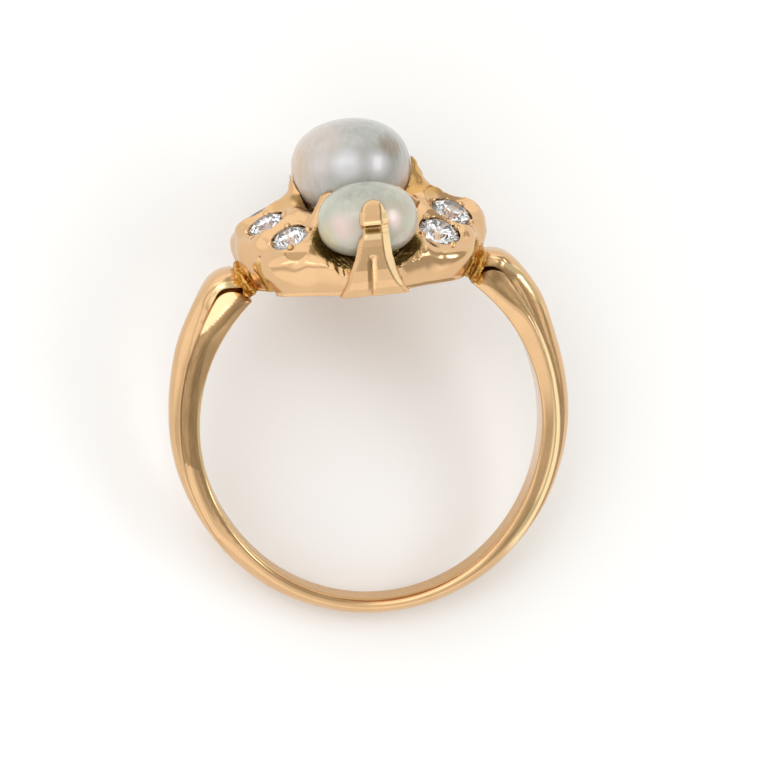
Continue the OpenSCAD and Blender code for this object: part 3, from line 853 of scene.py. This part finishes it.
def skin(shape, low, high, cell, block=8):
    """Points and quads over the surface where shape is 0, with corners where it has edges"""
    low = np.asarray(low, float)
    count = (np.ceil((np.asarray(high) - low) / cell / block)).astype(int)
    corners = lattice(*count)
    middles = low + (corners * block + (block - 1) / 2) * cell
    rough = in_parts(shape, middles)
    values = np.empty(count * block)
    blocks = values.reshape(count[0], block, count[1], block, count[2], block)
    blocks[:] = rough.reshape(count)[:, None, :, None, :, None]
    near = np.nonzero(abs(rough) < block * cell * 1.3)[0]
    offsets = lattice(block, block, block)
    for start in range(0, len(near), 120):
        chosen = corners[near[start:start + 120]]
        spots = low + (chosen[:, None] * block + offsets) * cell
        got = shape(*spots.reshape(-1, 3).T).reshape(len(chosen), block, block, block)
        for (i, j, k), cube in zip(chosen, got):
            blocks[i, :, j, :, k, :] = cube
    inside = values < 0
    sums, quads = [], []
    size = np.array(values.shape)
    stride = np.array([size[1] * size[2], size[2], 1])
    for axis in range(3):
        one, two = (axis + 1) % 3, (axis + 2) % 3
        first = [slice(None)] * 3
        first[axis] = slice(0, -1)
        second = [slice(None)] * 3
        second[axis] = slice(1, None)
        crossing = np.argwhere(inside[tuple(first)] != inside[tuple(second)])
        step = np.zeros(3, int)
        step[axis] = 1
        v0 = values[tuple(crossing.T)]
        v1 = values[tuple((crossing + step).T)]
        share = v0 / (v0 - v1)
        spot = low + (crossing + step * share[:, None]) * cell
        lean = slopes(shape, spot)
        fix = in_parts(shape, spot) / np.where(abs(lean[:, axis]) < 0.2, np.inf, lean[:, axis])
        share = np.clip(share - fix / cell, 0, 1)
        spot = low + (crossing + step * share[:, None]) * cell
        lean = slopes(shape, spot)
        cells = []
        for da, db in ((-1, -1), (0, -1), (0, 0), (-1, 0)):
            cell_at = crossing.copy()
            cell_at[:, one] += da
            cell_at[:, two] += db
            cells.append(cell_at @ stride)
        cells = np.stack(cells, 1)
        quads.append(np.where((v0 > 0)[:, None], cells[:, ::-1], cells))
        for c in range(4):
            sums.append((cells[:, c], spot, lean))
    keys = np.concatenate([s[0] for s in sums])
    spots = np.concatenate([s[1] for s in sums])
    leans = np.concatenate([s[2] for s in sums])
    names, index = np.unique(keys, return_inverse=True)
    total = len(names)

    def gather(weights):
        return np.bincount(index, weights, total)

    n = gather(np.ones(len(index)))
    mean = np.stack([gather(spots[:, i]) for i in range(3)], 1) / n[:, None]
    away = ((spots - mean[index]) * leans).sum(1)
    square = np.empty((total, 3, 3))
    for i in range(3):
        for j in range(3):
            square[:, i, j] = gather(leans[:, i] * leans[:, j])
    pull = np.stack([gather(leans[:, i] * away) for i in range(3)], 1)
    square += 0.03 * n[:, None, None] * np.eye(3)
    moved = mean + np.linalg.solve(square, pull[:, :, None])[:, :, 0]
    place = np.stack(np.unravel_index(names, values.shape), 1)
    floor = low + place * cell
    moved = np.clip(moved, floor - 0.05 * cell, floor + 1.05 * cell)
    return moved, np.searchsorted(names, np.concatenate(quads))


def corner_normals(piece, shape, points, quads, sharp=0.86):
    """Gives a skinned piece the true normals of its shape, split at the edges"""
    leans = slopes(shape, points)
    p = points[quads]
    flat = np.cross(p[:, 2] - p[:, 0], p[:, 3] - p[:, 1])
    flat /= np.maximum(np.linalg.norm(flat, axis=1, keepdims=True), 1e-12)
    normals = leans[quads]
    wrong = (normals * flat[:, None]).sum(2) < sharp
    middle = p.mean(1, keepdims=True)
    inner = (p + 0.5 * (middle - p))[wrong]
    better = slopes(shape, inner)
    faces = np.broadcast_to(flat[:, None], normals.shape)[wrong]
    bad = (better * faces).sum(1) < sharp
    better[bad] = faces[bad]
    normals[wrong] = better
    turned = normals.reshape(-1, 3) @ np.array(lay.to_3x3()).T
    piece.data.normals_split_custom_set(turned.tolist())


def front_half(x, y, z):
    return np.maximum(whole_head(x, y, z), y + 1.95)


def back_half(x, y, z):
    return np.maximum(whole_head(x, y, z), -2.0 - y)


# The half that faces the camera is meshed finer than the other
HALVES = [
    ("head_front", front_half, (-7.0, -7.7, 6.5), (7.0, -1.7, 13.3), 0.066),
    ("head_back", back_half, (-7.2, -2.2, 6.5), (7.2, 7.7, 13.3), 0.095),
]
for name, shape, low, high, cell in HALVES:
    points, quads = skin(shape, low, high, cell)
    head = make_piece(name, points, quads, gold, ["gold"])
    corner_normals(head, shape, points, quads)
    x, y, z = points.T
    # the necks and the valleys are left rough, and the side claws partly, and the valleys also get
    # painted shade
    bridge, along = neck(x, y, z)
    rough_neck = smooth((0.12 - bridge) / 0.12) * smooth((along + 0.5) / 0.4)
    deep = smooth((0.32 - valley(x, -abs(y), z)) / 0.25) * smooth((9.2 - z) / 0.4)
    rough_claw = smooth((z - 11.0) / 0.3) * (abs(y) < 1.3) * (0.25 + 0.4 * (x > 0))
    # the recess is engraved, and the metal between the centre pearl and its left claw gets a
    # painted shadow of the pearl
    dug = smooth((0.14 - abs(bowl(x, -abs(y), z))) / 0.04) * (abs(y) > 2.9) * (abs(y) < 6.5)
    near = smooth((0.5 - rounded_pearl(x, y, z, CENTER_PEARL, CENTER_HALF)) / 0.2)
    pearl_shadow = near * between(x, -3.3, -1.7, 0.25) * between(y, -2.7, -0.6, 0.25)
    pearl_shadow = pearl_shadow * between(z, 10.6, 11.95, 0.15)
    # the face of the big claw gets a band of painted shade between two painted highlights at its
    # knuckle, its groove a painted highlight on one side and painted shade on the other, and its
    # right chamfer a painted highlight beside a dark line of painted shade
    from_middle = x - claw_at(z, MIDDLE)
    beside = from_middle - claw_at(z, TO_RIGHT)
    edge = -y - claw_at(z, FACE)
    tall = (z > 7.9) & (z < 11.9)
    band = between(z, 10.6, 10.9, 0.06) * (y < -6) * smooth((0.4 - abs(x - 0.12)) / 0.05)
    on_face = (edge > -0.35) * smooth((0.44 - abs(from_middle)) / 0.04)
    knuckle = on_face * (between(z, 10.97, 11.22, 0.05) + between(z, 10.3, 10.6, 0.05))
    in_groove = (edge > -0.4) * smooth((9.5 - z) / 0.2) * smooth((z - 7.6) / 0.3)
    light_side = in_groove * between(from_middle + 0.02, 0.0, 0.17, 0.05)
    dark_side = in_groove * between(from_middle + 0.02, -0.24, -0.01, 0.05)
    chamfer = tall & (beside > 0.03) & (beside < 0.45) & (edge > -0.5) & (edge < -0.03)
    dark_line = tall * between(beside, -0.06, 0.05, 0.03) * (edge > -0.3)
    # the flat cuts under the front diamonds, with a painted highlight on the right and painted
    # shade on the left
    facet = smooth((0.03 - abs(right_cut(x, y, z))) / 0.01)
    under_cut = smooth((0.05 - abs(left_cut(x, y, z))) / 0.03) * smooth((9.66 - z) / 0.06)
    keep(head, engraved=dug, cast=np.max([deep, rough_neck, rough_claw], axis=0),
         crease=np.max([0.35 * deep, 0.8 * pearl_shadow, band], axis=0),
         bright=np.max([0.8 * facet, 0.75 * chamfer, 0.5 * light_side, 0.8 * knuckle], axis=0),
         brushed=np.max([0.9 * dark_side, 0.6 * dark_line, 0.8 * under_cut], axis=0))


# Pearls
# Three natural pearls, a little flattened and uneven. The large silvery one sits on a peg at
# the top, the two smaller cream ones lie under the big claws at its ends.
NACRE_RELIEF = 0.04 * MM
NACRE_LIGHT = (0.86, 0.82, 0.80)
NACRE_DARK = (0.22, 0.20, 0.16)


def ring_of(n, r, z, start=0.0):
    """n points in a level ring"""
    way = math.radians(start) + np.arange(n) * 2 * math.pi / n
    return np.stack([r * np.cos(way), r * np.sin(way), np.full(n, z)], 1)


def pearl_shape(middle, half, seed, bumps, rings=96, around=160):
    """Points and faces of an uneven ball, fuller below its middle"""
    rng = np.random.default_rng(seed)
    dirs = rng.normal(size=(10, 3))
    dirs /= np.linalg.norm(dirs, axis=1, keepdims=True)
    sizes = rng.uniform(-1, 1, 10) * bumps
    points, faces = [], []
    for i in range(rings + 1):
        sine, cosine = math.sin(math.pi * i / rings), math.cos(math.pi * i / rings)
        ball = ring_of(around, sine, cosine)
        uneven = sum(s * np.exp(4 * (ball @ d - 1)) for s, d in zip(sizes, dirs))
        power = 2 / (PEARL_BELOW if i > rings / 2 else PEARL_ABOVE)
        ball = ring_of(around, sine ** power, math.copysign(abs(cosine) ** power, cosine))
        points.append(middle + ball * half * (1 - 0.004 + uneven[:, None]))
    for i in range(rings):
        above, below = i * around, (i + 1) * around
        for j in range(around):
            k = (j + 1) % around
            faces.append((above + j, below + j, below + k, above + k))
    return np.vstack(points), faces


def pearl_finish(name, middle, base, blush, shade, zones):
    """Nacre in thin layers: a soft body colour, drifting clouds of another hue, zones of colour at
    known places, some of which are painted highlights and painted shade, fine growth lines and a
    glossy skin"""
    finish, wire = new_finish(name)
    place = wire.node("ShaderNodeTexCoord", out=3)
    moved = wire.node("ShaderNodeMapping", {}, {"Vector": place, "Location": (0.3, 0.1, 0.7)})
    stretched = wire.node("ShaderNodeMapping", {}, {"Vector": place, "Scale": (1, 0.22, 1)})
    drift = wire.noise(place, 300, 3)
    tone = wire.noise(moved, 240)
    fine = wire.noise(stretched, 3400, 4, 0.6)
    colour = (drift.smooth(0.42, 0.66) * 0.7).mix(base, blush)
    colour = (tone.smooth(0.42, 0.66) * 0.7).mix(colour, shade)
    for right, above, nearer, reach, strength, hue in zones:
        spot = np.array(middle) + np.array(across * right + up * above + towards * nearer)
        away = wire.node("ShaderNodeVectorMath", {"operation": "DISTANCE"},
                         {0: place, 1: tuple(lay_down([spot])[0])}, out=1)
        away = away * (1 / MM) + (fine * 0.5 + drift * 0.9 - 0.7) * reach
        colour = (away.smooth(reach, reach * 0.15) * strength).mix(colour, hue)
    colour = (fine.smooth(0.4, 0.7) * 0.1).mix(colour, NACRE_LIGHT)
    colour = (fine.smooth(0.5, 0.25) * 0.1).mix(colour, NACRE_DARK)
    relief = wire.node("ShaderNodeBump", {}, {"Strength": 0.35, "Distance": NACRE_RELIEF,
                                              "Height": drift * 2.4 + fine * 0.3})
    shine(wire, {"Base Color": colour, "Metallic": 0.08, "Roughness": 0.3,
                 "Specular IOR Level": 0.6, "Coat Weight": 0.6, "Coat Roughness": 0.16,
                 "Coat IOR": 1.65}, relief)
    return finish


# Each zone is its place from the pearl's middle, right, above and nearer as the camera sees it,
# how far it reaches, how strong it is, and its colour
SILVER_ZONES = [
    (-2.6, -0.2, 1.0, 2.1, 0.95, (0.56, 0.41, 0.29)),
    (2.75, -0.7, 0.8, 1.4, 0.85, (0.52, 0.39, 0.32)),
    # painted reflection and shade: the lower middle darkened and browned as by the gold below
    (0.5, -1.9, 1.9, 1.8, 0.8, (0.36, 0.33, 0.25)),
    (1.95, 0.95, 1.8, 1.0, 0.85, (0.26, 0.20, 0.13)),
    (0.3, 1.9, 1.6, 1.7, 0.7, (0.33, 0.34, 0.31)),
    # painted highlights: the last three are pale spots where the lamps shine on the pearl
    (-1.5, -0.05, 2.5, 0.9, 0.5, (0.62, 0.55, 0.55)),
    (-0.15, -0.1, 3.0, 1.1, 0.75, (0.66, 0.65, 0.68)),
    (1.35, 0.0, 2.6, 0.9, 0.75, (0.68, 0.67, 0.71)),
]
CREAM_ZONES = [
    # the first is a pink blush that also stands in for a faint painted highlight, and the second a
    # painted pinkish white highlight
    (-1.25, -0.45, 1.7, 1.1, 0.9, (0.74, 0.55, 0.50)),
    (1.35, -0.1, 1.7, 0.8, 0.9, (0.86, 0.68, 0.64)),
    (0.2, 1.3, 1.3, 1.4, 0.8, (0.32, 0.33, 0.27)),
    (-1.9, -0.9, 1.0, 1.1, 0.8, (0.56, 0.49, 0.31)),
    (2.0, -0.2, 1.0, 0.9, 0.8, (0.55, 0.58, 0.43)),
    (-0.9, 1.0, 1.2, 0.7, 0.6, (0.36, 0.31, 0.31)),
]
silver = pearl_finish("pearl_silver", CENTER_PEARL, (0.42, 0.42, 0.395), (0.54, 0.45, 0.39),
                      (0.36, 0.37, 0.35), SILVER_ZONES)
cream = pearl_finish("pearl_cream", FRONT_PEARL, (0.48, 0.49, 0.38), (0.60, 0.49, 0.41),
                     (0.40, 0.42, 0.34), CREAM_ZONES)
# Each row is one pearl: its node, place, half sizes, how uneven it is, and its finish and slot
PEARLS = [
    ("pearl_center", CENTER_PEARL, CENTER_HALF, 0.012, silver, "pearl_silver"),
    ("pearl_front", FRONT_PEARL, FRONT_HALF, 0.008, cream, "pearl_cream"),
    ("pearl_back", BACK_PEARL, BACK_HALF, 0.010, cream, "pearl_cream"),
]
for seed, (name, middle, half, bumps, finish, slot) in enumerate(PEARLS, 5):
    points, faces = pearl_shape(middle, half, seed, bumps)
    make_piece(name + "_nacre", points, faces, finish, [name])


# Diamonds
# Eight old cut brilliants, each with a table, a crown of 8 stars, 8 kites and 16 upper facets,
# a fine girdle, and a pavilion of 16 lower facets and 8 mains that end in a small culet.
# All but the drop are shares of the stone's diameter, or of its crown's and pavilion's heights
TABLE, CROWN, GIRDLE, PAVILION, CULET = 0.55, 0.15, 0.02, 0.42, 0.07
STAR_R, STAR_RISE, MAIN_R, MAIN_FALL = 0.385, 0.56, 0.16, 0.72
HALF_STEP = 22.5
GIRDLE_DROP = 0.03

diamond, wire = new_finish("diamond")
shine(wire, {"Base Color": (0.96, 0.975, 1.0, 1), "Roughness": 0.0, "IOR": 2.42,
             "Transmission Weight": 1.0})


def brilliant(d):
    """Points and faces of one stone of diameter d, with its girdle at height 0"""
    points = np.vstack([
        ring_of(8, d * TABLE / 2, d * CROWN),
        ring_of(8, d * STAR_R, d * CROWN * STAR_RISE, HALF_STEP),
        ring_of(16, d / 2, 0),
        ring_of(16, d / 2, -d * GIRDLE),
        ring_of(8, d * MAIN_R, -d * (GIRDLE + PAVILION * MAIN_FALL), HALF_STEP),
        ring_of(8, d * CULET / 2, -d * (GIRDLE + PAVILION)),
    ])
    star, upper, lower, main, culet = 8, 16, 32, 48, 56
    faces = [tuple(range(8))]
    for i in range(8):
        k = (i + 1) % 8
        over = [upper + (2 * i + step) % 16 for step in range(3)]
        under = [lower + (2 * i + step) % 16 for step in range(3)]
        faces += [(i, star + i, k), (k, star + i, over[2]), (k, over[2], star + k),
                  (star + i, over[0], over[1]), (star + i, over[1], over[2]),
                  (under[0], main + i, under[1]), (under[1], main + i, under[2]),
                  (under[0], culet + i, main + i), (main + i, culet + i, culet + k),
                  (main + i, culet + k, under[2])]
    for i in range(16):
        k = (i + 1) % 16
        faces.append((upper + i, lower + i, lower + k, upper + k))
    faces.append(tuple(culet + i for i in range(7, -1, -1)))
    return points, faces


for number, seat in enumerate(SEATS, 1):
    at, one, two, out = seat_axes(seat)
    points, faces = brilliant(seat[5])
    points[:, 2] -= GIRDLE_DROP
    points = at + points @ np.array([one, two, out])
    stone = make_piece(f"brilliant_{number}", points, faces, diamond,
                       [f"diamond_{number}"])
    stone.data.shade_flat()


# Floor and light
# A plain pale floor in a white tent. The tent is darker where the camera looks in, low on the
# left, and on the right, where it stands open. Two strip lamps shine through it, one above the
# camera and one to its right.
FLOOR_REACH = 3.0
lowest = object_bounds()[0].z
floor_mesh = bpy.data.meshes.new("floor")
floor_mesh.from_pydata([(a * FLOOR_REACH, b * FLOOR_REACH, lowest)
                        for a, b in ((-1, -1), (1, -1), (1, 1), (-1, 1))], [], [(0, 1, 2, 3)])
pale, wire = new_finish("pale_floor")
shine(wire, {"Base Color": (0.97, 0.97, 0.97, 1), "Roughness": 0.9, "Specular IOR Level": 0.1})
floor_mesh.materials.append(pale)
floor = bpy.data.objects.new("floor", floor_mesh)
bpy.context.collection.objects.link(floor)

TENT = 1.28
TENT_DARK = (1.0, 0.99, 0.92)
# Each row is one panel: degrees right of the camera's direction from and to, degrees above it
# from and to, softness in degrees, and brightness
PANELS = [
    (-110, 5, -28, -12, 10, 0.62),
    (12, 100, -48, 62, 14, 0.42),
    (-12, 20, -52, 4, 12, 0.76),
    (-38, 8, 10, 24, 12, 1.9),
    (47, 63, -8, 24, 8, 2.9),
]
world = bpy.data.worlds.new("tent")
bpy.context.scene.world = world
world.use_nodes = True
world.node_tree.nodes.clear()
sky = Wire(world.node_tree)
ray = sky.node("ShaderNodeTexCoord", out=0)


def along_ray(direction):
    """How far a ray looks along a direction of the ring's frame"""
    return sky.node("ShaderNodeVectorMath", {"operation": "DOT_PRODUCT"},
                    {0: ray, 1: tuple(lay.to_3x3() @ direction)}, out=1)


to_right = sky.math("ARCTAN2", along_ray(across), along_ray(towards)) * math.degrees(1)
to_top = sky.math("ARCSINE", along_ray(up)) * math.degrees(1)
glow = sky.node("ShaderNodeValue")
glow.socket.default_value = 1.0
for left, right, bottom, top, soft, bright in PANELS:
    half = soft / 2
    panel = to_right.smooth(left - half, left + half) * to_right.smooth(right + half, right - half)
    panel = panel * to_top.smooth(bottom - half, bottom + half)
    panel = panel * to_top.smooth(top + half, top - half)
    glow = glow + panel * (bright - glow)
tint = glow.smooth(0.4, 1.0).mix(TENT_DARK, (1, 1, 1))
shown = sky.node("ShaderNodeBackground", {}, {"Color": tint, "Strength": glow * TENT})
sky.node("ShaderNodeOutputWorld", {}, {"Surface": shown})
bpy.context.scene.view_settings.view_transform = "Standard"
